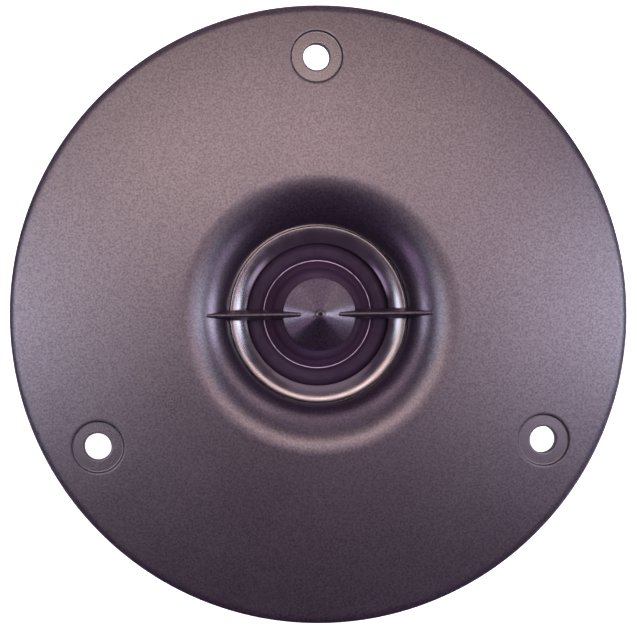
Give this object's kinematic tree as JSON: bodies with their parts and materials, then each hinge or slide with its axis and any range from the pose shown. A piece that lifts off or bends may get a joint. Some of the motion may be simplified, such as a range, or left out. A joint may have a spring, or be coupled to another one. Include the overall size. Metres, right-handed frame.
{
  "type": "car tweeter",
  "caption": "Round flange-mounted dome tweeter with a short horn flare, a phase plug on two thin ribs and a ring-magnet motor behind the plate.",
  "frame": {"origin": "centre of the bolt circle on the mounting plate's back face", "axes": "+Z along the acoustic axis towards the listener, +Y towards the upper mounting hole, ribs along X"},
  "size_m": [0.104, 0.104, 0.0276],
  "materials": {
    "faceplate_plastic": "fine spark-eroded texture, satin black with a warm cast",
    "throat_plastic": "smooth polished black",
    "seal_foam": "open-cell foam",
    "surround_film": "thermoformed film, glossy",
    "dome_film": "thermoformed film, glossy",
    "former_foil": "thin rolled foil",
    "copper_wire": "enamelled copper",
    "spacer_board": "pressed fibre",
    "solder_tin": "dull solder",
    "wire_black": "extruded insulation",
    "wire_red": "extruded insulation",
    "plated_steel": "zinc-plated, pale yellow passivation",
    "ferrite": "ground ferrite",
    "felt": "pressed felt",
    "phenolic_board": "phenolic paper sheet",
    "tinned_brass": "tin-plated",
    "eyelet_brass": "rolled, bare",
    "rivet_aluminium": "upset head",
    "screw_steel": "zinc-plated"
  },
  "bodies": {
    "chassis": {"faceplate": "faceplate_plastic", "throat_seal": "seal_foam", "throat_ring": "throat_plastic", "surround": "surround_film", "coil_tail_left": "copper_wire", "coil_tail_right": "copper_wire", "diaphragm_ring": "spacer_board", "solder_pads": "solder_tin", "lead_wire_left": "wire_black", "lead_wire_right": "wire_red", "top_plate": "plated_steel", "magnet": "ferrite", "back_plate": "plated_steel", "pole_piece": "plated_steel", "pole_pad": "felt", "terminal_board": "phenolic_board", "terminal_positive": "tinned_brass", "terminal_negative": "tinned_brass", "terminal_eyelets": "eyelet_brass", "terminal_solder": "solder_tin", "board_rivets": "rivet_aluminium", "motor_screws": "screw_steel"},
    "moving_coil": {"dome": "dome_film", "voice_coil_former": "former_foil", "voice_coil_winding": "copper_wire"}
  },
  "joints": [
    {"name": "voice_coil_travel", "type": "slide", "parent": "chassis", "child": "moving_coil", "axis": [0, 0, 1], "range_m": [-0.0004, 0.0004], "stiffness_N_per_m": 500, "deforming": ["surround", "coil_tail_left", "coil_tail_right"]}
  ]
}
